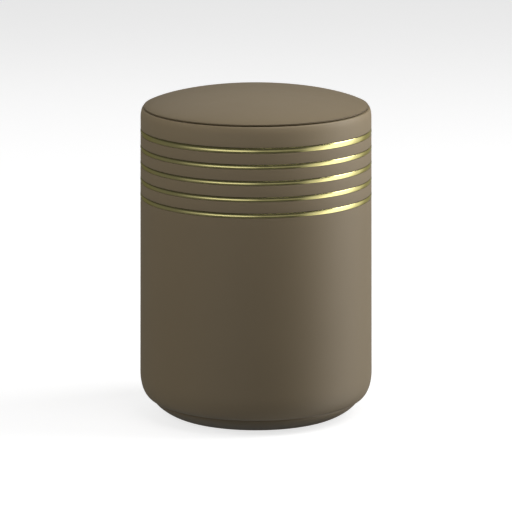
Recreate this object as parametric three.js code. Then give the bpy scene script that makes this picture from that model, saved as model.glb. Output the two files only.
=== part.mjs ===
// A cremation urn: a hollow round body on a bevelled foot, a low domed lid that lifts off, and five brass
// hoops let into grooves round the top of the wall. Millimetres, +Z up. The origin is the middle of the
// flat underside that the urn stands on.
import * as THREE from 'three';

// Body: heights are measured from the underside, radii from the axis
const TOTAL_HEIGHT = 241.2;
const SEAM_HEIGHT = 227.6;
const WALL_RADIUS = 85.65;
const WALL_DRAFT = THREE.MathUtils.degToRad(0.4);
const WALL_THICKNESS = 4;

// Foot: a bevel with a slight swell, from the flat underside out to a short upright edge
const FOOT_FLAT_RADIUS = 62;
const FOOT_TOP_RADIUS = 76.2;
const FOOT_BEVEL_HEIGHT = 10;
const FOOT_HEIGHT = 10.9;
const FOOT_ROUNDNESS = 1.3;
const FLOOR_THICKNESS = 4.5;

// Lower corner of the body, above the foot
const CORNER_WIDTH = 10.5;
const CORNER_HEIGHT = 19.9;
const CORNER_ROUNDNESS = 2.2;

// Shoulder: the last few millimetres of wall under the lid, which curve inward
const SHOULDER_DROP = 1.2;
const SHOULDER_HEIGHT = 5.1;

// Lid: a low dome, with a plain collar below it that drops into the mouth
const SEAM_GAP = 0.3;
const EDGE_CHAMFER = 0.35;
const LID_THICKNESS = 3.6;
const DOME_ROUNDNESS = 1.35;
const COLLAR_DEPTH = 8;
const COLLAR_THICKNESS = 3;
const COLLAR_CLEARANCE = 0.6;

// Hoops
const HOOP_COUNT = 5;
const TOP_HOOP_HEIGHT = 210.7;
const HOOP_PITCH = 11.8;
const TOP_HOOP_WIDTH = 3.8;
const HOOP_WIDTH = 3.1;
const HOOP_THICKNESS = 1.2;
const HOOP_PROUD = 0.15;
const HOOP_GAP = 0.3;

// Facets: round the axis, and along each curved stretch of a profile
const SIDES = 60;
const FOOT_STEPS = 3;
const CORNER_STEPS = 5;
const SHOULDER_STEPS = 2;
const DOME_STEPS = 9;
const DOME_INNER_STEPS = 6;
const QUARTER_TURN = Math.PI / 2;

const LACQUER = { color: 0x7b6f5c, roughness: 0.48, metalness: 0.1 };
const BRASS = { color: 0xd9c877, roughness: 0.16, metalness: 1 };

const cornerTop = FOOT_HEIGHT + CORNER_HEIGHT;
const bodyTop = SEAM_HEIGHT - SEAM_GAP / 2;
const lidBottom = SEAM_HEIGHT + SEAM_GAP / 2;
const shoulderBottom = bodyTop - SHOULDER_HEIGHT;
const domeRise = TOTAL_HEIGHT - lidBottom;

// Outside radius of the wall, which leans in by the draft from the lower corner up
function wallRadius(height) {
  return WALL_RADIUS - Math.tan(WALL_DRAFT) * (height - cornerTop);
}

const lidRadius = wallRadius(shoulderBottom) - SHOULDER_DROP;
const mouthRadius = wallRadius(shoulderBottom) - WALL_THICKNESS;

// A quarter of a rounded outline, from its lowest point outward and up to its widest one. A roundness
// of 2 is an ellipse, 1 a straight line, and a larger number a squarer corner.
function risingQuarter(innerRadius, lowest, reach, rise, roundness, steps) {
  const points = [];
  for (let i = 0; i <= steps; i += 1) {
    const turn = (QUARTER_TURN * i) / steps;
    const out = Math.sin(turn) ** (2 / roundness);
    const up = 1 - Math.cos(turn) ** (2 / roundness);
    points.push(new THREE.Vector2(innerRadius + reach * out, lowest + rise * up));
  }
  return points;
}

// The same quarter from its widest point down and inward to its lowest one
function fallingQuarter(innerRadius, lowest, reach, rise, roundness, steps) {
  return risingQuarter(innerRadius, lowest, reach, rise, roundness, steps).reverse();
}

// Height of the dome's outside above the seam, at a radius
function domeHeight(radius) {
  const share = Math.max(0, 1 - (radius / lidRadius) ** 2);
  return lidBottom + domeRise * share ** (1 / DOME_ROUNDNESS);
}

// Middle height and width of each hoop, the top one first
function hoopPlaces() {
  const places = [];
  for (let i = 0; i < HOOP_COUNT; i += 1) {
    const width = i === 0 ? TOP_HOOP_WIDTH : HOOP_WIDTH;
    places.push({ height: TOP_HOOP_HEIGHT - HOOP_PITCH * i, width });
  }
  return places;
}

// The notch that one groove cuts into the wall's outline, from its lower lip to its upper one
function grooveNotch({ height, width }) {
  const low = height - width / 2 - HOOP_GAP;
  const high = height + width / 2 + HOOP_GAP;
  const bottom = wallRadius(height) + HOOP_PROUD - HOOP_THICKNESS - HOOP_GAP;
  return [
    new THREE.Vector2(wallRadius(low), low),
    new THREE.Vector2(bottom, low),
    new THREE.Vector2(bottom, high),
    new THREE.Vector2(wallRadius(high), high),
  ];
}

// Shoulder: leans inward more and more up to a small chamfer at the mouth's outer edge
function shoulder() {
  const points = [];
  for (let i = 0; i <= SHOULDER_STEPS; i += 1) {
    const share = i / SHOULDER_STEPS;
    const height = shoulderBottom + (SHOULDER_HEIGHT - EDGE_CHAMFER) * share;
    points.push(new THREE.Vector2(wallRadius(shoulderBottom) - SHOULDER_DROP * share ** 2, height));
  }
  points.push(new THREE.Vector2(lidRadius - EDGE_CHAMFER, bodyTop));
  return points;
}

// Outline of the body's outside, from the middle of the underside up to the rim of the mouth
function bodyOutside() {
  const cornerInner = WALL_RADIUS - CORNER_WIDTH;
  const footReach = FOOT_TOP_RADIUS - FOOT_FLAT_RADIUS;
  const points = [new THREE.Vector2(0, 0)];
  points.push(...risingQuarter(FOOT_FLAT_RADIUS, 0, footReach, FOOT_BEVEL_HEIGHT, FOOT_ROUNDNESS, FOOT_STEPS));
  const corner = risingQuarter(
    cornerInner, FOOT_HEIGHT, CORNER_WIDTH, CORNER_HEIGHT, CORNER_ROUNDNESS, CORNER_STEPS,
  );
  corner[0].x = FOOT_TOP_RADIUS;
  points.push(...corner);
  for (const place of hoopPlaces().reverse()) {
    points.push(...grooveNotch(place));
  }
  points.push(...shoulder());
  return points;
}

// Outline of the hollow, from the mouth down the wall to the middle of the floor, one wall's thickness
// inside the outer shape
function bodyInside() {
  const cornerInner = WALL_RADIUS - CORNER_WIDTH;
  const cornerLow = FOOT_HEIGHT + WALL_THICKNESS;
  const cornerReach = CORNER_WIDTH - WALL_THICKNESS;
  const cornerRise = CORNER_HEIGHT - WALL_THICKNESS;
  const points = [new THREE.Vector2(mouthRadius, bodyTop)];
  points.push(...fallingQuarter(cornerInner, cornerLow, cornerReach, cornerRise, CORNER_ROUNDNESS, CORNER_STEPS));
  points.push(new THREE.Vector2(FOOT_TOP_RADIUS - WALL_THICKNESS, cornerLow));
  points.push(new THREE.Vector2(FOOT_FLAT_RADIUS - WALL_THICKNESS / 2, FLOOR_THICKNESS));
  points.push(new THREE.Vector2(0, FLOOR_THICKNESS));
  return points;
}

// Outline of the lid: its underside and collar from the axis outward, then the dome back to the axis
function lidOutline() {
  const collarOuter = mouthRadius - COLLAR_CLEARANCE;
  const collarInner = collarOuter - COLLAR_THICKNESS;
  const collarBottom = lidBottom - COLLAR_DEPTH;
  const points = [];
  for (let i = 0; i <= DOME_INNER_STEPS; i += 1) {
    const radius = collarInner * Math.sin((QUARTER_TURN * i) / DOME_INNER_STEPS);
    points.push(new THREE.Vector2(radius, domeHeight(radius) - LID_THICKNESS));
  }
  points.push(new THREE.Vector2(collarInner, collarBottom));
  points.push(new THREE.Vector2(collarOuter, collarBottom));
  points.push(new THREE.Vector2(collarOuter, lidBottom));
  points.push(new THREE.Vector2(lidRadius - EDGE_CHAMFER, lidBottom));
  for (let i = 1; i <= DOME_STEPS; i += 1) {
    const radius = lidRadius * Math.cos((QUARTER_TURN * (i - 0.5)) / (DOME_STEPS - 0.5));
    points.push(new THREE.Vector2(i === DOME_STEPS ? 0 : radius, domeHeight(radius)));
  }
  return points;
}

// Section of one hoop, closed on itself: its outer face leans with the wall and stands a hair proud
function hoopSection({ height, width }) {
  const low = height - width / 2;
  const high = height + width / 2;
  const inner = wallRadius(height) + HOOP_PROUD - HOOP_THICKNESS;
  return [
    new THREE.Vector2(inner, low),
    new THREE.Vector2(wallRadius(low) + HOOP_PROUD, low),
    new THREE.Vector2(wallRadius(high) + HOOP_PROUD, high),
    new THREE.Vector2(inner, high),
    new THREE.Vector2(inner, low),
  ];
}

// A named piece turned from an outline of radius and height, which runs anticlockwise in that plane
function turned(name, outline, finish) {
  const geometry = new THREE.LatheGeometry(outline, SIDES);
  geometry.rotateX(QUARTER_TURN);
  const piece = new THREE.Mesh(geometry, new THREE.MeshStandardMaterial(finish));
  piece.name = name;
  return piece;
}

const urn = new THREE.Group();
urn.add(turned('body', [...bodyOutside(), ...bodyInside()], LACQUER));
urn.add(turned('lid', lidOutline(), LACQUER));
hoopPlaces().forEach((place, i) => {
  urn.add(turned(`brass_band_${i + 1}`, hoopSection(place), BRASS));
});

export default urn;
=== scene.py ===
"""A cremation urn: lacquered body and lid, and five polished brass hoops let into the wall.

Run as a script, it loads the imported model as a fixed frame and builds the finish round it. All lengths are
metres, +Z is up, and the origin is the middle of the flat underside.
"""

import math
from typing import NamedTuple

import bpy
import numpy as np
from mathutils import Matrix, Vector


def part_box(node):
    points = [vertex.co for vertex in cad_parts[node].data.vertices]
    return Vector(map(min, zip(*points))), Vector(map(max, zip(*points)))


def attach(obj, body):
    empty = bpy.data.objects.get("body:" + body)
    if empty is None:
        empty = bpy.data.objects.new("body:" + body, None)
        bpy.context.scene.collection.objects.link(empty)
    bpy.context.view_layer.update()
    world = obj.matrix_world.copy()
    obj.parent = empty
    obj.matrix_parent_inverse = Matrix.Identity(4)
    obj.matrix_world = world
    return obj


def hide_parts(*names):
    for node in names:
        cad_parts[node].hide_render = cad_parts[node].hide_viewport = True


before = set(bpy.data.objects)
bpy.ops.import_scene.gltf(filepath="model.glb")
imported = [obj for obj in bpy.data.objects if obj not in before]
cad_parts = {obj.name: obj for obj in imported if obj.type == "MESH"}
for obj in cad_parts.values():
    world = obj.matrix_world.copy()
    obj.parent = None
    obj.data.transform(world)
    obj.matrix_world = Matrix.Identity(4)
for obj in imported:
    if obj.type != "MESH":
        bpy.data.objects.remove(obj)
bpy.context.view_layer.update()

bl_info = {
    "name": "Banded urn",
    "version": (1, 0, 0),
    "blender": (4, 5, 0),
    "location": "View3D > Sidebar > Urn",
    "description": "Builds a lacquered urn with brass hoops round its packed model",
    "category": "Object",
}

MM = 0.001
HOOP_NODES = sorted(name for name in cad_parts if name.startswith("brass_band_"))

# Facets round the axis, and along each kind of stretch in an outline
SIDES = 256
UNDERSIDE_STEPS = 5
BEVEL_STEPS = 20
CORNER_STEPS = 24
INNER_CORNER_STEPS = 12
SHOULDER_STEPS = 16
DOME_STEPS = 48
INNER_DOME_STEPS = 23
ROUND_STEPS = 5
CROWN_STEPS = 14
RIM_STEPS = 10

# A point of an outline that is nearer the axis than this lies on it
ON_AXIS = 1e-9

WHITE = (1.0, 1.0, 1.0)
BLACK = (0.0, 0.0, 0.0)


def node_top(name):
    """Height of the highest point of a node of the model."""
    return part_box(name)[1].z


def node_bottom(name):
    """Height of the lowest point of a node of the model."""
    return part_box(name)[0].z


def node_radius(name):
    """Largest radius of a node of the model, from the width of its box."""
    low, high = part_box(name)
    return (high.x - low.x) / 2


def length(name, description, default):
    """A length property in metres."""
    return bpy.props.FloatProperty(
        name=name, description=description, default=default, unit="LENGTH", precision=5
    )


def number(name, description, default):
    """A plain number property."""
    return bpy.props.FloatProperty(name=name, description=description, default=default, precision=4)


def part_of_one(name, description, default):
    """A number property from 0 to 1."""
    return bpy.props.FloatProperty(
        name=name, description=description, default=default, min=0.0, max=1.0, subtype="FACTOR", precision=3
    )


def power(name, description, watts):
    """A power property, whose default is given in watts."""
    return bpy.props.FloatProperty(name=name, description=description, default=watts, unit="POWER")


def angle(name, description, degrees):
    """An angle property, whose default is given in degrees."""
    return bpy.props.FloatProperty(
        name=name, description=description, default=math.radians(degrees), subtype="ANGLE"
    )


def colour(name, description, default):
    """A colour property, in scene-linear red, green and blue."""
    return bpy.props.FloatVectorProperty(
        name=name, description=description, default=default, subtype="COLOR", size=3
    )


class UrnSizes(bpy.types.PropertyGroup):
    """Sizes of the urn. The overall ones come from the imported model."""

    wall_radius: length("Wall radius", "Outside radius above the lower corner", node_radius("body"))
    body_height: length("Body height", "Height of the mouth's rim", node_top("body"))
    total_height: length("Total height", "Height of the top of the dome", node_top("lid"))
    wall_draft: angle("Wall draft", "How far the wall leans in towards the top", 0.4)
    wall_thickness: length("Wall thickness", "Thickness of the body's wall", 4 * MM)
    foot_flat_radius: length("Foot flat radius", "Radius of the flat underside", 62 * MM)
    foot_top_radius: length("Foot top radius", "Radius of the foot under the body", 76.2 * MM)
    foot_bevel_height: length("Foot bevel height", "Height of the bevelled part of the foot", 10 * MM)
    foot_height: length("Foot height", "Height of the whole foot", 10.9 * MM)
    foot_roundness: number("Foot roundness", "1 is a straight bevel and 2 an ellipse", 1.3)
    floor_thickness: length("Floor thickness", "Thickness of the floor of the hollow", 4.5 * MM)
    corner_width: length("Corner width", "How far the lower corner reaches in", 10.5 * MM)
    corner_height: length("Corner height", "How high the lower corner reaches", 19.9 * MM)
    corner_roundness: number("Corner roundness", "2 is an ellipse, more is squarer", 2.2)
    shoulder_drop: length("Shoulder drop", "How far the shoulder leans in under the lid", 1.2 * MM)
    shoulder_height: length("Shoulder height", "Height of the shoulder under the lid", 9 * MM)
    shoulder_power: number("Shoulder power", "How late the shoulder leans in: more is later", 3.0)
    seam_gap: length("Seam gap", "Gap between the lid and the body", 0.5 * MM)
    rim_radius: length("Rim radius", "Radius of the outer edge of the body's rim", 0.8 * MM)
    lid_edge_radius: length("Lid edge radius", "Height of the lid's rounded lower edge", 0.7 * MM)
    dome_roundness: number("Dome roundness", "Power of the height in the dome's curve", 1.35)
    lid_thickness: length("Lid thickness", "Thickness of the dome", 3.6 * MM)
    collar_depth: length("Collar depth", "How far the lid's collar drops into the mouth", 8 * MM)
    collar_thickness: length("Collar thickness", "Thickness of the lid's collar", 3 * MM)
    collar_clearance: length("Collar clearance", "Gap between the collar and the mouth", 0.6 * MM)
    hoop_thickness: length("Hoop thickness", "Thickness of a hoop through the wall", 1.2 * MM)
    hoop_proud: length("Hoop proud", "How far the middle of a hoop's face stands out of the wall", 0.14 * MM)
    hoop_lean: angle("Hoop lean", "How far the edges of a hoop's crowned face lean back", 16)
    hoop_edge: length("Hoop edge", "Radius of a hoop's outer edges", 0.06 * MM)
    hoop_gap: length("Hoop gap", "Gap round a hoop in its groove", 0.3 * MM)


class UrnFinish(bpy.types.PropertyGroup):
    """Colours and textures of the lacquer and the brass."""

    lacquer: colour("Lacquer", "Colour of the lacquer", (0.209, 0.163, 0.099))
    lacquer_roughness: part_of_one("Lacquer roughness", "Roughness of the lacquer", 0.5)
    lacquer_bump: length("Lacquer bump", "Height of the lacquer's fine texture", 0.02 * MM)
    brass: colour("Brass", "Colour of the polished brass", (0.84, 0.765, 0.325))
    brass_roughness: part_of_one("Brass roughness", "Roughness of the polished brass", 0.17)
    brass_bump: length("Brass bump", "Height of the fine lines left by turning", 0.002 * MM)
    brass_coat: part_of_one("Brass coat", "How much clear lacquer lies over the brass", 0.6)
    brass_coat_roughness: part_of_one("Brass coat roughness", "Roughness of that clear lacquer", 0.12)


class StudioSettings(bpy.types.PropertyGroup):
    """Camera, floor and lights."""

    camera_distance: length("Camera distance", "From the camera to the point that it looks at", 2.88)
    camera_elevation: angle("Camera elevation", "How far the camera looks down", 12.15)
    aim_height: length("Aim height", "Height that the middle of the picture shows", 116.3 * MM)
    frame_width: length("Frame width", "Width that the picture takes in at the urn", 376.9 * MM)
    floor: colour("Floor", "Colour of the floor", (0.50, 0.50, 0.50))
    floor_glow: number("Floor glow", "Light that the floor gives off by itself", 0.72)
    side_light: power("Side light", "Power of the tall soft light on the right", 21.0)
    left_light: power("Left light", "Power of the soft light high on the left", 9.2)
    near_light: power("Near light", "Power of the small light close over the front of the lid", 1.12)
    back_light: power("Back light", "Power of the soft light high behind", 1.6)
    back_fill: power("Back fill", "Power of the soft light behind on the left", 2.4)


class Zone(NamedTuple):
    """A change of the lacquer's tone with height, used as painted light: none below the start and the whole
    gain above the end.
    """

    start: float
    end: float
    gain: float


# Painted light: the body's lacquer is painted a little paler past the lowest hoops, again past the top one,
# and at the rim, in place of the light that falls more on the upper wall and the rim
PAINTED_LIGHT_ZONES = (
    Zone(start=152 * MM, end=176 * MM, gain=0.09),
    Zone(start=206 * MM, end=218 * MM, gain=0.08),
    Zone(start=222 * MM, end=228 * MM, gain=0.07),
)


class Lamp(NamedTuple):
    """A rectangular soft light that faces the urn, in metres.

    Its power is the stage setting of the same name. One that isn't reflected leaves no highlight.
    """

    name: str
    place: tuple
    width: float
    height: float
    reflected: bool


LAMPS = (
    Lamp("side_light", place=(1.35, 0.18, 0.96), width=0.9, height=1.4, reflected=True),
    Lamp("left_light", place=(-1.27, -0.56, 0.92), width=0.9, height=1.0, reflected=False),
    Lamp("near_light", place=(0.16, -0.27, 0.64), width=0.4, height=0.4, reflected=True),
    Lamp("back_light", place=(0.0, 1.23, 1.14), width=1.0, height=1.0, reflected=True),
    Lamp("back_fill", place=(-0.75, 1.0, 0.9), width=1.0, height=1.0, reflected=False),
)


class Card(NamedTuple):
    """A soft patch of light in the surroundings, all in degrees except its strength.

    It has its full strength up to the angle `full` on either side of its azimuth, and ends at `reach`.
    Azimuths start at the front and grow to the right.
    """

    azimuth: float
    full: float
    reach: float
    lowest: float
    highest: float
    strength: float


class Belt(NamedTuple):
    """A belt of light all round, between two heights in degrees."""

    lowest: float
    highest: float
    strength: float


# The surroundings. What lies below the horizon shows in the polished hoops.
CARDS = (
    Card(azimuth=-27, full=2, reach=34, lowest=-21, highest=-5, strength=0.56),
    Card(azimuth=-30, full=8, reach=58, lowest=-21, highest=-5, strength=0.34),
    Card(azimuth=38, full=14, reach=34, lowest=-22, highest=-5, strength=0.21),
    Card(azimuth=92, full=10, reach=48, lowest=-45, highest=6, strength=0.82),
    Card(azimuth=92, full=2, reach=27, lowest=-45, highest=6, strength=0.8),
    Card(azimuth=150, full=20, reach=45, lowest=-30, highest=0, strength=0.25),
    Card(azimuth=-115, full=50, reach=75, lowest=-40, highest=0, strength=0.08),
)
BELTS = (
    Belt(lowest=-90, highest=-45, strength=0.35),
    Belt(lowest=-90, highest=90, strength=0.055),
)

# A belt faces nowhere, so the cosine to every direction is 0, well past both of its side edges
NOWHERE = (0.0, 0.0, 0.0)
OPEN_SIDES = (-1.0, -0.5)

# Width of a card's or belt's soft lower and upper edges, in sines of the height
HEIGHT_SOFTNESS = 0.08

# The poles' height in degrees, and a sine well past them
POLE = 90
PAST_POLE = 2.0


# Curves that the outlines share

def wall_radius(sizes, height):
    """Outside radius of the wall: that above the lower corner, less the draft's tangent times the rise."""
    corner_top = sizes.foot_height + sizes.corner_height
    return sizes.wall_radius - np.tan(sizes.wall_draft) * (height - corner_top)


def corner_radius(sizes):
    """Radius from which the lower corner's curve sets out."""
    return sizes.wall_radius - sizes.corner_width


def shoulder_bottom(sizes):
    """Height where the shoulder starts to lean in."""
    return sizes.body_height - sizes.shoulder_height


def mouth_radius(sizes):
    """Inside radius of the mouth."""
    return wall_radius(sizes, shoulder_bottom(sizes)) - sizes.wall_thickness


def seam_radius(sizes):
    """Outside radius of the seam between the lid and the body."""
    return wall_radius(sizes, shoulder_bottom(sizes)) - sizes.shoulder_drop


def lid_bottom(sizes):
    """Height of the lid's underside at its edge."""
    return sizes.body_height + sizes.seam_gap


def dome_curve(sizes, radius):
    """Height of the dome's outside at each radius.

    With share = 1 - (radius / seam radius) squared, it is the lid's lowest height plus the dome's rise
    times share to the power 1 / roundness.
    """
    bottom = lid_bottom(sizes)
    share = np.clip(1 - (radius / seam_radius(sizes)) ** 2, 0, 1)
    return bottom + (sizes.total_height - bottom) * share ** (1 / sizes.dome_roundness)


def rising_quarter(inner, lowest, reach, rise, roundness, steps):
    """A quarter of a rounded outline, from its lowest point outward and up to its widest one.

    The radius is inner plus reach times sin(t) to the power 2 / roundness, and the height is lowest plus
    rise times one less cos(t) to the same power, for t from 0 to a quarter turn.
    """
    turn = np.linspace(0, np.pi / 2, steps + 1)
    exponent = 2 / roundness
    out = np.sin(turn) ** exponent
    up = 1 - np.clip(np.cos(turn), 0, 1) ** exponent
    return np.stack([inner + reach * out, lowest + rise * up], axis=1)


def rounded(corners, radii, steps=ROUND_STEPS):
    """The corners joined by straight lines, with an arc of the given radius at each one that has a radius.

    An arc of radius r at a corner of inner angle a starts r / tan(a / 2) before the corner, and its points
    are the centre plus r times unit vectors that turn evenly from one tangent point to the other.
    """
    corners = np.asarray(corners, float)
    pieces = [corners[:1]]
    for before, corner, after, radius in zip(corners[:-2], corners[1:-1], corners[2:], radii[1:-1]):
        if radius == 0:
            pieces.append(corner[None])
            continue
        back = (before - corner) / np.linalg.norm(before - corner)
        on = (after - corner) / np.linalg.norm(after - corner)
        half = math.acos(np.clip(back @ on, -1, 1)) / 2
        middle = (back + on) / np.linalg.norm(back + on)
        centre = corner + middle * radius / math.sin(half)
        start = corner + back * radius / math.tan(half) - centre
        end = corner + on * radius / math.tan(half) - centre
        sweep = math.pi - 2 * half
        share = np.linspace(0, 1, steps + 1)[:, None]
        arc = (np.sin((1 - share) * sweep) * start + np.sin(share * sweep) * end) / math.sin(sweep)
        pieces.append(centre + arc)
    pieces.append(corners[-1:])
    return np.concatenate(pieces)


# Outline of the body

def foot_and_corner(sizes):
    """The outline from the middle of the underside over the foot's bevel, the crease and the lower corner."""
    soft_edge = 0.8 * MM
    crease_radius = 0.3 * MM
    flat = np.linspace(0, sizes.foot_flat_radius - soft_edge, UNDERSIDE_STEPS + 1)
    underside = np.stack([flat, np.zeros_like(flat)], axis=1)
    bevel = rising_quarter(
        inner=sizes.foot_flat_radius,
        lowest=0,
        reach=sizes.foot_top_radius - sizes.foot_flat_radius,
        rise=sizes.foot_bevel_height,
        roundness=sizes.foot_roundness,
        steps=BEVEL_STEPS,
    )
    corner = rising_quarter(
        inner=corner_radius(sizes),
        lowest=sizes.foot_height,
        reach=sizes.corner_width,
        rise=sizes.corner_height,
        roundness=sizes.corner_roundness,
        steps=CORNER_STEPS,
    )
    corner = corner[corner[:, 0] > sizes.foot_top_radius + crease_radius]
    crease_corners = [bevel[-2], bevel[-1], (sizes.foot_top_radius, sizes.foot_height), corner[0]]
    neck = rounded(crease_corners, [0, crease_radius, crease_radius / 2, 0])[1:-1]
    return np.concatenate([underside, bevel[1:-1], neck, corner])


def groove(sizes, node):
    """Corners of the notch that holds one hoop, from its lower lip to its upper one."""
    low = node_bottom(node) - sizes.hoop_gap
    high = node_top(node) + sizes.hoop_gap
    bottom = wall_radius(sizes, (low + high) / 2) - sizes.hoop_thickness - sizes.hoop_gap / 2
    return [
        (wall_radius(sizes, low), low),
        (bottom, low),
        (bottom, high),
        (wall_radius(sizes, high), high),
    ]


def grooved_wall(sizes, start):
    """The wall above its lower corner, in and out of each groove, up to the shoulder."""
    lip_radius = 0.12 * MM
    root_radius = 0.08 * MM
    corners = [start]
    radii = [0]
    for node in reversed(HOOP_NODES):
        corners += groove(sizes, node)
        radii += [lip_radius, root_radius, root_radius, lip_radius]
    corners.append((wall_radius(sizes, shoulder_bottom(sizes)), shoulder_bottom(sizes)))
    radii.append(0)
    return rounded(corners, radii)[1:]


def shoulder(sizes):
    """The shoulder, up to just under the rounded rim.

    At a share of its height it has leant in by the drop times that share to the shoulder's power.
    """
    room_for_rim = 1.2 * sizes.rim_radius
    bottom = shoulder_bottom(sizes)
    share = np.linspace(0, 1, SHOULDER_STEPS + 1)[1:-1]
    radius = wall_radius(sizes, bottom) - sizes.shoulder_drop * share**sizes.shoulder_power
    height = bottom + sizes.shoulder_height * share
    return np.stack([radius, height], axis=1)[height < sizes.body_height - room_for_rim]


def hollow(sizes):
    """The inside, from the lower end of its straight wall round the corner to the middle of the floor."""
    low = sizes.foot_height + sizes.wall_thickness
    corner = rising_quarter(
        inner=corner_radius(sizes),
        lowest=low,
        reach=sizes.corner_width - sizes.wall_thickness,
        rise=sizes.corner_height - sizes.wall_thickness,
        roundness=sizes.corner_roundness,
        steps=INNER_CORNER_STEPS,
    )
    floor = [
        (sizes.foot_top_radius - sizes.wall_thickness, low),
        (sizes.foot_flat_radius - sizes.wall_thickness / 2, sizes.floor_thickness),
        (0, sizes.floor_thickness),
    ]
    return np.concatenate([corner[::-1], floor])


def body_outline(sizes):
    """Outline of the body from the middle of the underside, up the outside, over the rim and down inside."""
    base = foot_and_corner(sizes)
    wall = grooved_wall(sizes, base[-1])
    lean = shoulder(sizes)
    inside = hollow(sizes)
    rim_corners = [
        lean[-1],
        (seam_radius(sizes), sizes.body_height),
        (mouth_radius(sizes), sizes.body_height),
        inside[0],
    ]
    rim = rounded(rim_corners, [0, sizes.rim_radius, sizes.rim_radius / 2, 0], RIM_STEPS)[1:-1]
    return np.concatenate([base, wall, lean, rim, inside])


# Outlines of the lid and the hoops

def lid_outline(sizes):
    """Outline of the lid from the axis under the dome, round the collar and the edge, back to the axis.

    The arc at the seam is a little smaller than the room for it, so that it ends short of the dome's curve.
    """
    collar_edge_radius = 0.5 * MM
    seam_edge_radius = 0.95 * sizes.lid_edge_radius
    bottom = lid_bottom(sizes)
    collar_bottom = bottom - sizes.collar_depth
    collar_outer = mouth_radius(sizes) - sizes.collar_clearance
    collar_inner = collar_outer - sizes.collar_thickness
    under_radius = collar_inner * np.sin(np.linspace(0, np.pi / 2, INNER_DOME_STEPS + 1))
    under = np.stack([under_radius, dome_curve(sizes, under_radius) - sizes.lid_thickness], axis=1)
    dome_radius = seam_radius(sizes) * np.cos(np.linspace(0, np.pi / 2, DOME_STEPS + 1))
    dome_radius[-1] = 0
    dome = np.stack([dome_radius, dome_curve(sizes, dome_radius)], axis=1)
    dome = dome[dome[:, 1] > bottom + sizes.lid_edge_radius]
    corners = [
        under[-1],
        (collar_inner, collar_bottom),
        (collar_outer, collar_bottom),
        (collar_outer, bottom),
        (seam_radius(sizes), bottom),
        dome[0],
    ]
    edge = rounded(corners, [0, collar_edge_radius, collar_edge_radius, 0, seam_edge_radius, 0])[1:-1]
    return np.concatenate([under, edge, dome])


def hoop_outline(sizes, node):
    """Section of one hoop, closed on itself.

    The outer face is a crown: its radius is the wall's plus the proud height, less the crown's depth times
    the square of the distance from the middle over half the width. The depth is half of half the width,
    times the tangent of the lean at the edges.
    """
    edge = sizes.hoop_edge
    low = node_bottom(node)
    high = node_top(node)
    middle = (low + high) / 2
    half = (high - low) / 2
    inner = wall_radius(sizes, middle) - sizes.hoop_thickness
    depth = half / 2 * math.tan(sizes.hoop_lean)
    across = np.linspace(-1, 1, CROWN_STEPS + 1)[1:-1]
    face_height = middle + across * half
    face_radius = wall_radius(sizes, face_height) + sizes.hoop_proud - depth * across**2
    face = np.stack([face_radius, face_height], axis=1)
    face_low = (wall_radius(sizes, low) + sizes.hoop_proud - depth, low)
    face_high = (wall_radius(sizes, high) + sizes.hoop_proud - depth, high)
    lower = rounded([(inner, low), face_low, face[0]], [0, edge, 0])
    upper = rounded([face[-1], face_high, (inner, high)], [0, edge, 0])
    return np.concatenate([lower[:-1], face, upper[1:], lower[:1]])


# Meshes

def turned_mesh(name, outline):
    """A mesh of the outline carried round the axis.

    Point k of a ring of radius r and height z is (r cos a, r sin a, z) with a = k turns / sides. An outline
    point on the axis is one vertex, and an outline that ends where it starts joins up with itself.
    """
    closed = np.allclose(outline[0], outline[-1])
    rings = outline[:-1] if closed else outline
    radius, height = rings[:, 0], rings[:, 1]
    turns = np.linspace(0, 2 * np.pi, SIDES, endpoint=False)
    grid = np.stack(
        [
            radius[:, None] * np.cos(turns),
            radius[:, None] * np.sin(turns),
            np.broadcast_to(height[:, None], (len(rings), SIDES)),
        ],
        axis=2,
    )
    on_axis = radius < ON_AXIS
    index = np.arange(len(rings) * SIDES).reshape(len(rings), SIDES)
    index[on_axis] = index[on_axis][:, :1]
    if closed:
        index = np.concatenate([index, index[:1]])
    following = np.roll(index, -1, axis=1)
    faces = np.stack([index[:-1], following[:-1], following[1:], index[1:]], axis=2).reshape(-1, 4)
    low_pole = faces[:, 0] == faces[:, 1]
    high_pole = faces[:, 2] == faces[:, 3]
    quads = faces[~(low_pole | high_pole)]
    triangles = np.concatenate([faces[low_pole][:, [0, 2, 3]], faces[high_pole][:, [0, 1, 2]]])
    used, compact = np.unique(np.concatenate([quads.ravel(), triangles.ravel()]), return_inverse=True)
    quad_rows = compact[: quads.size].reshape(-1, 4)
    triangle_rows = compact[quads.size :].reshape(-1, 3)
    mesh = bpy.data.meshes.new(name)
    mesh.from_pydata(grid.reshape(-1, 3)[used].tolist(), [], quad_rows.tolist() + triangle_rows.tolist())
    mesh.shade_smooth()
    mesh.update()
    return mesh


def linked_object(name, data):
    """An object of the given data, linked to the scene."""
    made = bpy.data.objects.new(name, data)
    bpy.context.scene.collection.objects.link(made)
    return made


def turned_piece(name, outline, material, node):
    """A finished piece that stands for a node of the model."""
    piece = linked_object(name, turned_mesh(name, outline))
    piece.data.materials.append(material)
    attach(piece, "root")
    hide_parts(node)


# Shader node helpers, where a value may be a number, a vector or another node's output

def new_group(name, inputs, outputs):
    """An empty shader node group with named sockets, and its input and output nodes."""
    group = bpy.data.node_groups.new(name, "ShaderNodeTree")
    for socket, kind, default in inputs:
        made = group.interface.new_socket(socket, in_out="INPUT", socket_type=kind)
        if default is not None:
            made.default_value = default
    for socket, kind in outputs:
        group.interface.new_socket(socket, in_out="OUTPUT", socket_type=kind)
    return group, group.nodes.new("NodeGroupInput"), group.nodes.new("NodeGroupOutput")


def feed(tree, socket, value):
    """Links an output to a socket, or sets the socket to a plain value."""
    if isinstance(value, bpy.types.NodeSocket):
        tree.links.new(value, socket)
    else:
        socket.default_value = value


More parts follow.
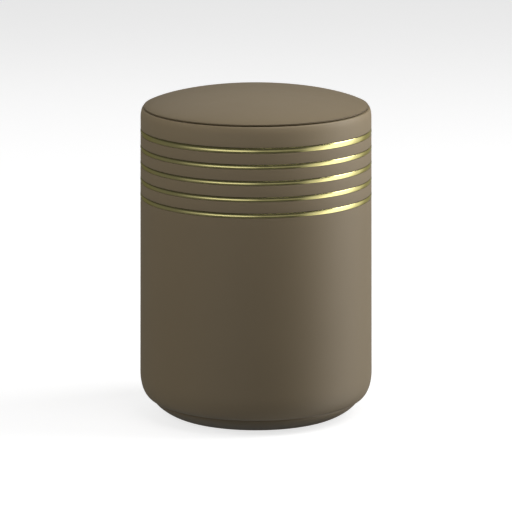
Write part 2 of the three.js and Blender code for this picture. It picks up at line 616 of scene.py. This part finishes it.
def noise(tree, vector, scale, detail, roughness):
    """A noise texture read at the given vector."""
    node = tree.nodes.new("ShaderNodeTexNoise")
    feed(tree, node.inputs["Vector"], vector)
    feed(tree, node.inputs["Scale"], scale)
    feed(tree, node.inputs["Detail"], detail)
    feed(tree, node.inputs["Roughness"], roughness)
    return node.outputs["Fac"]


def maths(tree, operation, first, second):
    """The result of a maths node on two values."""
    node = tree.nodes.new("ShaderNodeMath")
    node.operation = operation
    feed(tree, node.inputs[0], first)
    feed(tree, node.inputs[1], second)
    return node.outputs["Value"]


def vector_maths(tree, operation, *vectors):
    """A vector maths node on one or two vectors."""
    node = tree.nodes.new("ShaderNodeVectorMath")
    node.operation = operation
    for place, vector in enumerate(vectors):
        feed(tree, node.inputs[place], vector)
    return node


def scaled(tree, shade, factor):
    """A colour times a factor."""
    node = vector_maths(tree, "SCALE", shade)
    feed(tree, node.inputs["Scale"], factor)
    return node.outputs["Vector"]


def height_of(tree, vector):
    """The upright part of a vector."""
    node = tree.nodes.new("ShaderNodeSeparateXYZ")
    feed(tree, node.inputs["Vector"], vector)
    return node.outputs["Z"]


def remap(tree, value, low, high):
    """Maps a value from 0..1 to low..high."""
    node = tree.nodes.new("ShaderNodeMapRange")
    feed(tree, node.inputs["Value"], value)
    feed(tree, node.inputs["To Min"], low)
    feed(tree, node.inputs["To Max"], high)
    return node.outputs["Result"]


def soft_step(tree, value, start, end, low=0.0, high=1.0):
    """Rises smoothly from low to high as the value goes from start to end."""
    node = tree.nodes.new("ShaderNodeMapRange")
    node.interpolation_type = "SMOOTHSTEP"
    feed(tree, node.inputs["Value"], value)
    feed(tree, node.inputs["From Min"], start)
    feed(tree, node.inputs["From Max"], end)
    feed(tree, node.inputs["To Min"], low)
    feed(tree, node.inputs["To Max"], high)
    return node.outputs["Result"]


def new_material(name):
    """A new material, its node tree and its main shader."""
    material = bpy.data.materials.new(name)
    material.use_nodes = True
    return material, material.node_tree, material.node_tree.nodes["Principled BSDF"]


def opaque(shade):
    """A colour with full opacity, as a colour socket takes it."""
    return (*shade, 1.0)


# Finishes

def build_cloudy_finish():
    """Slow, slight changes of tone and roughness over a surface, and a fine grain for its height."""
    group, given, made = new_group(
        "Cloudy finish",
        [
            ("Vector", "NodeSocketVector", None),
            ("Colour", "NodeSocketColor", (0.5, 0.5, 0.5, 1.0)),
            ("Tone change", "NodeSocketFloat", 0.05),
            ("Roughness", "NodeSocketFloat", 0.5),
            ("Roughness change", "NodeSocketFloat", 0.05),
            ("Grain scale", "NodeSocketFloat", 1500.0),
        ],
        [("Colour", "NodeSocketColor"), ("Roughness", "NodeSocketFloat"), ("Height", "NodeSocketFloat")],
    )
    place = given.outputs["Vector"]
    cloud = noise(group, place, scale=22.0, detail=3.0, roughness=0.5)
    darkest = maths(group, "SUBTRACT", 1.0, given.outputs["Tone change"])
    palest = maths(group, "ADD", 1.0, given.outputs["Tone change"])
    tone = scaled(group, given.outputs["Colour"], remap(group, cloud, darkest, palest))
    patch = noise(group, place, scale=60.0, detail=4.0, roughness=0.6)
    smoothest = maths(group, "SUBTRACT", given.outputs["Roughness"], given.outputs["Roughness change"])
    roughest = maths(group, "ADD", given.outputs["Roughness"], given.outputs["Roughness change"])
    grain = noise(group, place, scale=given.outputs["Grain scale"], detail=2.0, roughness=0.5)
    feed(group, made.inputs["Colour"], tone)
    feed(group, made.inputs["Roughness"], remap(group, patch, smoothest, roughest))
    feed(group, made.inputs["Height"], grain)
    return group


def cloudy_finish():
    """The shared finish group, built once."""
    return bpy.data.node_groups.get("Cloudy finish") or build_cloudy_finish()


def in_zone(tree, height, shade, zone):
    """The colour times one plus the zone's gain, which comes in smoothly between the zone's two heights: a
    painted lightening that stands in for light.
    """
    gain = soft_step(tree, height, zone.start, zone.end, low=1.0, high=1.0 + zone.gain)
    return scaled(tree, shade, gain)


def finished_material(
    name, shade, metallic, index, roughness, tone_change, roughness_change, grain, bump, stretch, zones
):
    """A material of the shared finish, and its main shader.

    It has its own colour, refractive index, roughness, grain and bump height. The stretch shortens the place
    along each axis before the finish reads it, so that a small number draws the pattern out along that axis.
    The zones change the tone with height, as painted light.
    """
    material, tree, shader = new_material(name)
    place = tree.nodes.new("ShaderNodeTexCoord").outputs["Object"]
    finish = tree.nodes.new("ShaderNodeGroup")
    finish.node_tree = cloudy_finish()
    feed(tree, finish.inputs["Vector"], vector_maths(tree, "MULTIPLY", place, stretch).outputs["Vector"])
    feed(tree, finish.inputs["Colour"], opaque(shade))
    feed(tree, finish.inputs["Tone change"], tone_change)
    feed(tree, finish.inputs["Roughness"], roughness)
    feed(tree, finish.inputs["Roughness change"], roughness_change)
    feed(tree, finish.inputs["Grain scale"], grain)
    tone = finish.outputs["Colour"]
    height = height_of(tree, place)
    for zone in zones:
        tone = in_zone(tree, height, tone, zone)
    relief = tree.nodes.new("ShaderNodeBump")
    feed(tree, relief.inputs["Distance"], bump)
    feed(tree, relief.inputs["Height"], finish.outputs["Height"])
    feed(tree, shader.inputs["Base Color"], tone)
    feed(tree, shader.inputs["Metallic"], metallic)
    feed(tree, shader.inputs["IOR"], index)
    feed(tree, shader.inputs["Roughness"], finish.outputs["Roughness"])
    feed(tree, shader.inputs["Normal"], relief.outputs["Normal"])
    return material, shader


def lacquer_material(name, zones):
    """Satin grey-brown lacquer with a very fine even texture, painted paler in the given zones as painted
    light.
    """
    finish = bpy.context.scene.urn_finish
    material, _ = finished_material(
        name,
        shade=finish.lacquer,
        metallic=0.0,
        index=1.42,
        roughness=finish.lacquer_roughness,
        tone_change=0.03,
        roughness_change=0.04,
        grain=1400.0,
        bump=finish.lacquer_bump,
        stretch=(1.0, 1.0, 1.0),
        zones=zones,
    )
    return material


def brass_material():
    """Polished pale yellow brass under a clear lacquer, with fine lines left by turning.

    Its tint keeps it yellow at grazing angles too.
    """
    finish = bpy.context.scene.urn_finish
    material, shader = finished_material(
        "Polished brass",
        shade=finish.brass,
        metallic=1.0,
        index=1.5,
        roughness=finish.brass_roughness,
        tone_change=0.05,
        roughness_change=0.04,
        grain=2500.0,
        bump=finish.brass_bump,
        stretch=(0.02, 0.02, 1.0),
        zones=(),
    )
    shader.inputs["Specular Tint"].default_value = opaque(finish.brass)
    shader.inputs["Coat Weight"].default_value = finish.brass_coat
    shader.inputs["Coat Roughness"].default_value = finish.brass_coat_roughness
    return material


def floor_material(studio):
    """A pale floor that glows a little, and is clear when seen from below."""
    material, tree, shader = new_material("Pale floor")
    shader.inputs["Base Color"].default_value = opaque(studio.floor)
    shader.inputs["Roughness"].default_value = 0.9
    shader.inputs["Emission Color"].default_value = opaque(WHITE)
    shader.inputs["Emission Strength"].default_value = studio.floor_glow
    side = tree.nodes.new("ShaderNodeNewGeometry")
    clear = tree.nodes.new("ShaderNodeBsdfTransparent")
    either = tree.nodes.new("ShaderNodeMixShader")
    tree.links.new(side.outputs["Backfacing"], either.inputs["Fac"])
    tree.links.new(shader.outputs["BSDF"], either.inputs[1])
    tree.links.new(clear.outputs["BSDF"], either.inputs[2])
    tree.links.new(either.outputs["Shader"], tree.nodes["Material Output"].inputs["Surface"])
    return material


def flag_material():
    """Plain black."""
    material, _, shader = new_material("Black flag")
    shader.inputs["Base Color"].default_value = opaque(BLACK)
    return material


# Light from the surroundings

def height_step(tree, height, edge):
    """Rises smoothly from 0 to 1 as a height passes the edge."""
    start = maths(tree, "SUBTRACT", edge, HEIGHT_SOFTNESS / 2)
    end = maths(tree, "ADD", edge, HEIGHT_SOFTNESS / 2)
    return soft_step(tree, height, start, end)


def build_card_group():
    """A patch of light: its strength inside a range of azimuth and height, and soft edges all round."""
    group, given, made = new_group(
        "Soft card",
        [
            ("Direction", "NodeSocketVector", None),
            ("Facing", "NodeSocketVector", None),
            ("Outer edge", "NodeSocketFloat", 0.0),
            ("Inner edge", "NodeSocketFloat", 0.5),
            ("Lowest", "NodeSocketFloat", 0.0),
            ("Highest", "NodeSocketFloat", 1.0),
            ("Strength", "NodeSocketFloat", 1.0),
        ],
        [("Light", "NodeSocketFloat")],
    )
    level = (1.0, 1.0, 0.0)
    flat = vector_maths(group, "MULTIPLY", given.outputs["Direction"], level).outputs["Vector"]
    around = vector_maths(group, "NORMALIZE", flat).outputs["Vector"]
    toward = vector_maths(group, "DOT_PRODUCT", around, given.outputs["Facing"]).outputs["Value"]
    height = height_of(group, given.outputs["Direction"])
    beside = soft_step(group, toward, given.outputs["Outer edge"], given.outputs["Inner edge"])
    above = height_step(group, height, given.outputs["Lowest"])
    below = maths(group, "SUBTRACT", 1.0, height_step(group, height, given.outputs["Highest"]))
    inside = maths(group, "MULTIPLY", maths(group, "MULTIPLY", beside, above), below)
    feed(group, made.inputs["Light"], maths(group, "MULTIPLY", inside, given.outputs["Strength"]))
    return group


def height_sine(degrees):
    """Sine of a height in degrees. A pole's is put past the pole, so that no soft edge shows there."""
    if abs(degrees) == POLE:
        return math.copysign(PAST_POLE, degrees)
    return math.sin(math.radians(degrees))


def patch_light(tree, group, direction, facing, side_edges, patch):
    """The light of one card or belt that faces a direction. Its side edges are cosines from there."""
    node = tree.nodes.new("ShaderNodeGroup")
    node.node_tree = group
    feed(tree, node.inputs["Direction"], direction)
    feed(tree, node.inputs["Facing"], facing)
    feed(tree, node.inputs["Outer edge"], side_edges[0])
    feed(tree, node.inputs["Inner edge"], side_edges[1])
    feed(tree, node.inputs["Lowest"], height_sine(patch.lowest))
    feed(tree, node.inputs["Highest"], height_sine(patch.highest))
    feed(tree, node.inputs["Strength"], patch.strength)
    return node.outputs["Light"]


def surroundings():
    """A white world whose strength in each direction is the sum of the cards and belts there."""
    world = bpy.data.worlds.new("Studio light")
    world.use_nodes = True
    tree = world.node_tree
    direction = tree.nodes.new("ShaderNodeTexCoord").outputs["Generated"]
    group = build_card_group()
    total = 0.0
    for card in CARDS:
        azimuth = math.radians(card.azimuth)
        facing = (math.sin(azimuth), -math.cos(azimuth), 0.0)
        side_edges = (math.cos(math.radians(card.reach)), math.cos(math.radians(card.full)))
        total = maths(tree, "ADD", patch_light(tree, group, direction, facing, side_edges, card), total)
    for belt in BELTS:
        total = maths(tree, "ADD", patch_light(tree, group, direction, NOWHERE, OPEN_SIDES, belt), total)
    background = tree.nodes["Background"]
    feed(tree, background.inputs["Color"], opaque(WHITE))
    feed(tree, background.inputs["Strength"], total)
    return world


# Operators

class URN_OT_build_body(bpy.types.Operator):
    """Build the hollow body with its foot and the grooves for the hoops"""

    bl_idname = "urn.build_body"
    bl_label = "Build body"

    def execute(self, context):
        outline = body_outline(context.scene.urn_sizes)
        # The body's lacquer is painted paler on the upper wall and at the rim, as painted light
        lacquer = lacquer_material("Taupe lacquer, body", PAINTED_LIGHT_ZONES)
        turned_piece("urn_body", outline, lacquer, "body")
        return {"FINISHED"}


class URN_OT_build_lid(bpy.types.Operator):
    """Build the domed lid with the collar below it"""

    bl_idname = "urn.build_lid"
    bl_label = "Build lid"

    def execute(self, context):
        outline = lid_outline(context.scene.urn_sizes)
        lacquer = lacquer_material("Taupe lacquer, lid", ())
        turned_piece("urn_lid", outline, lacquer, "lid")
        return {"FINISHED"}


class URN_OT_build_hoops(bpy.types.Operator):
    """Build the brass hoops that lie in the grooves"""

    bl_idname = "urn.build_hoops"
    bl_label = "Build hoops"

    def execute(self, context):
        brass = brass_material()
        for number_from_top, node in enumerate(HOOP_NODES, start=1):
            outline = hoop_outline(context.scene.urn_sizes, node)
            turned_piece(f"brass_hoop_{number_from_top}", outline, brass, node)
        return {"FINISHED"}


class URN_OT_build_stage(bpy.types.Operator):
    """Build the floor, the lights and the camera"""

    bl_idname = "urn.build_stage"
    bl_label = "Build stage"

    def execute(self, context):
        scene = context.scene
        studio = scene.urn_studio
        self.build_floor(studio)
        self.build_flag()
        scene.world = surroundings()
        for lamp in LAMPS:
            self.build_lamp(studio, lamp)
        scene.camera = self.build_camera(studio)
        scene.view_settings.view_transform = "Standard"
        return {"FINISHED"}

    def build_floor(self, studio):
        """A wide flat floor, plain and pale, which only the camera sees, and only from above."""
        half = 8.0
        drop = -0.1 * MM
        corners = [(-half, -half, drop), (half, -half, drop), (half, half, drop), (-half, half, drop)]
        mesh = bpy.data.meshes.new("floor")
        mesh.from_pydata(corners, [], [(0, 1, 2, 3)])
        mesh.materials.append(floor_material(studio))
        floor = linked_object("floor", mesh)
        floor.visible_diffuse = False
        floor.visible_glossy = False
        floor.visible_shadow = False

    def build_flag(self):
        """A black ring under the body's overhang, unseen, which keeps the light from below off the foot."""
        inner = 64 * MM
        outer = 84 * MM
        drop = -0.2 * MM
        mesh = turned_mesh("flag", np.array([(inner, drop), (outer, drop)]))
        mesh.materials.append(flag_material())
        flag = linked_object("flag", mesh)
        flag.visible_camera = False
        flag.visible_glossy = False

    def build_lamp(self, studio, lamp):
        """One soft light, turned to face the urn and hidden from the camera."""
        light = bpy.data.lights.new(lamp.name, "AREA")
        light.shape = "RECTANGLE"
        light.size = lamp.width
        light.size_y = lamp.height
        light.energy = getattr(studio, lamp.name)
        to_urn = Vector((0, 0, studio.aim_height)) - Vector(lamp.place)
        made = linked_object(lamp.name, light)
        made.location = lamp.place
        made.rotation_euler = to_urn.to_track_quat("-Z", "Y").to_euler()
        made.visible_camera = False
        made.visible_glossy = lamp.reflected

    def build_camera(self, studio):
        """A long lens that looks down at the urn, with the middle of the picture at the aim height."""
        lens = bpy.data.cameras.new("camera")
        lens.lens = lens.sensor_width * studio.camera_distance / studio.frame_width
        lens.clip_end = 50.0
        elevation = studio.camera_elevation
        back = Vector((0, -math.cos(elevation), math.sin(elevation)))
        turn = (-back).to_track_quat("-Z", "Y").to_matrix().to_4x4()
        place = Vector((0, 0, studio.aim_height)) + back * studio.camera_distance
        camera = linked_object("camera", lens)
        camera.matrix_world = Matrix.Translation(place) @ turn
        return camera


class URN_PT_panel(bpy.types.Panel):
    """Lists the urn's pieces and its sizes, finish and stage"""

    bl_idname = "URN_PT_panel"
    bl_label = "Urn"
    bl_space_type = "VIEW_3D"
    bl_region_type = "UI"
    bl_category = "Urn"

    def draw(self, context):
        for operator in OPERATORS:
            self.layout.operator(operator.bl_idname)
        for group in (context.scene.urn_sizes, context.scene.urn_finish, context.scene.urn_studio):
            box = self.layout.box()
            for name in group.__annotations__:
                box.prop(group, name)


OPERATORS = (URN_OT_build_body, URN_OT_build_lid, URN_OT_build_hoops, URN_OT_build_stage)
CLASSES = (UrnSizes, UrnFinish, StudioSettings, *OPERATORS, URN_PT_panel)


def register():
    """Registers the classes and gives the scene its sizes, finish and stage settings."""
    for made in CLASSES:
        bpy.utils.register_class(made)
    bpy.types.Scene.urn_sizes = bpy.props.PointerProperty(type=UrnSizes)
    bpy.types.Scene.urn_finish = bpy.props.PointerProperty(type=UrnFinish)
    bpy.types.Scene.urn_studio = bpy.props.PointerProperty(type=StudioSettings)


def unregister():
    """Takes all of that away again, in the opposite order."""
    del bpy.types.Scene.urn_studio
    del bpy.types.Scene.urn_finish
    del bpy.types.Scene.urn_sizes
    for made in reversed(CLASSES):
        bpy.utils.unregister_class(made)


def main():
    """Builds the stage and every piece."""
    register()
    bpy.ops.urn.build_stage()
    bpy.ops.urn.build_body()
    bpy.ops.urn.build_lid()
    bpy.ops.urn.build_hoops()


if __name__ == "__main__":
    main()
